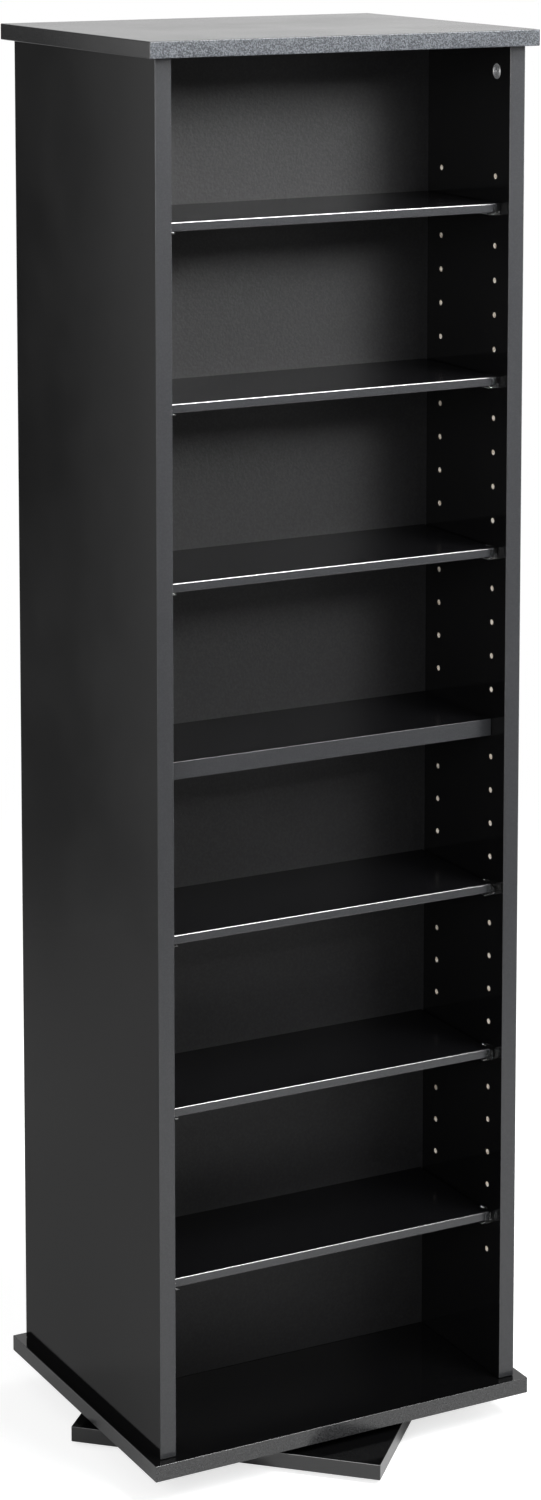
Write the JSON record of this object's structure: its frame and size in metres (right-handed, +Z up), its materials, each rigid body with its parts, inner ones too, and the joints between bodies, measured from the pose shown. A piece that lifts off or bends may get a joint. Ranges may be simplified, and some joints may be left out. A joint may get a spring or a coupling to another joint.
{
  "type": "spinning storage tower",
  "caption": "Tall two-sided shelf tower on a ball swivel and square base, with a fixed middle shelf, adjustable shelves on clips and rows of pin holes.",
  "frame": {"origin": "on the floor, under the swivel's axis and the middle of the base board", "axes": "+Z up along the swivel's axis; -Y out of the front face; +X to the right, seen from the front"},
  "size_m": [0.4202, 0.4202, 1.3209],
  "materials": {
    "outer_laminate": "black laminate, fine pebbled texture, satin",
    "divider_laminate": "black laminate, matt",
    "shelf_laminate": "black laminate, satin with a glossy eased front edge",
    "clear_plastic": "clear moulded plastic",
    "zinc": "die-cast zinc, dull silver",
    "plated_steel": "zinc-plated pressed steel",
    "bearing_steel": "polished steel balls in a thin cage",
    "foot_plastic": "black moulded plastic glide"
  },
  "bodies": {
    "base": {"swivel_lower_plate": "plated_steel", "base_board": "outer_laminate", "base_foot_1": "foot_plastic", "base_foot_2": "foot_plastic", "base_foot_3": "foot_plastic", "base_foot_4": "foot_plastic"},
    "ball_ring": {"swivel_ball_ring": "bearing_steel"},
    "tower": {"top_board": "outer_laminate", "bottom_board": "outer_laminate", "left_side_panel": "outer_laminate", "right_side_panel": "outer_laminate", "center_divider": "divider_laminate", "front_fixed_shelf": "shelf_laminate", "front_shelf_1": "shelf_laminate", "front_clip_left_1": "clear_plastic", "front_clip_right_1": "clear_plastic", "front_shelf_2": "shelf_laminate", "front_clip_left_2": "clear_plastic", "front_clip_right_2": "clear_plastic", "front_shelf_3": "shelf_laminate", "front_clip_left_3": "clear_plastic", "front_clip_right_3": "clear_plastic", "front_shelf_4": "shelf_laminate", "front_clip_left_4": "clear_plastic", "front_clip_right_4": "clear_plastic", "front_shelf_5": "shelf_laminate", "front_clip_left_5": "clear_plastic", "front_clip_right_5": "clear_plastic", "front_shelf_6": "shelf_laminate", "front_clip_left_6": "clear_plastic", "front_clip_right_6": "clear_plastic", "cam_lock_front_left": "zinc", "cam_bolt_front_left": "plated_steel", "cam_lock_front_right": "zinc", "cam_bolt_front_right": "plated_steel", "back_fixed_shelf": "shelf_laminate", "back_shelf_1": "shelf_laminate", "back_clip_left_1": "clear_plastic", "back_clip_right_1": "clear_plastic", "back_shelf_2": "shelf_laminate", "back_clip_left_2": "clear_plastic", "back_clip_right_2": "clear_plastic", "back_shelf_3": "shelf_laminate", "back_clip_left_3": "clear_plastic", "back_clip_right_3": "clear_plastic", "back_shelf_4": "shelf_laminate", "back_clip_left_4": "clear_plastic", "back_clip_right_4": "clear_plastic", "back_shelf_5": "shelf_laminate", "back_clip_left_5": "clear_plastic", "back_clip_right_5": "clear_plastic", "back_shelf_6": "shelf_laminate", "back_clip_left_6": "clear_plastic", "back_clip_right_6": "clear_plastic", "cam_lock_back_left": "zinc", "cam_bolt_back_left": "plated_steel", "cam_lock_back_right": "zinc", "cam_bolt_back_right": "plated_steel", "swivel_upper_plate": "plated_steel", "swivel_keeper_ring": "plated_steel"}
  },
  "joints": [
    {"name": "tower_spin", "type": "hinge", "parent": "base", "child": "tower", "pos_m": [0, 0, 0.0228], "axis": [0, 0, 1], "continuous": true},
    {"name": "ball_ring_spin", "type": "hinge", "parent": "base", "child": "ball_ring", "pos_m": [0, 0, 0.0228], "axis": [0, 0, 1], "continuous": true}
  ],
  "couplings": [
    {"joint": "ball_ring_spin", "follows": "tower_spin", "ratio": 0.5}
  ]
}
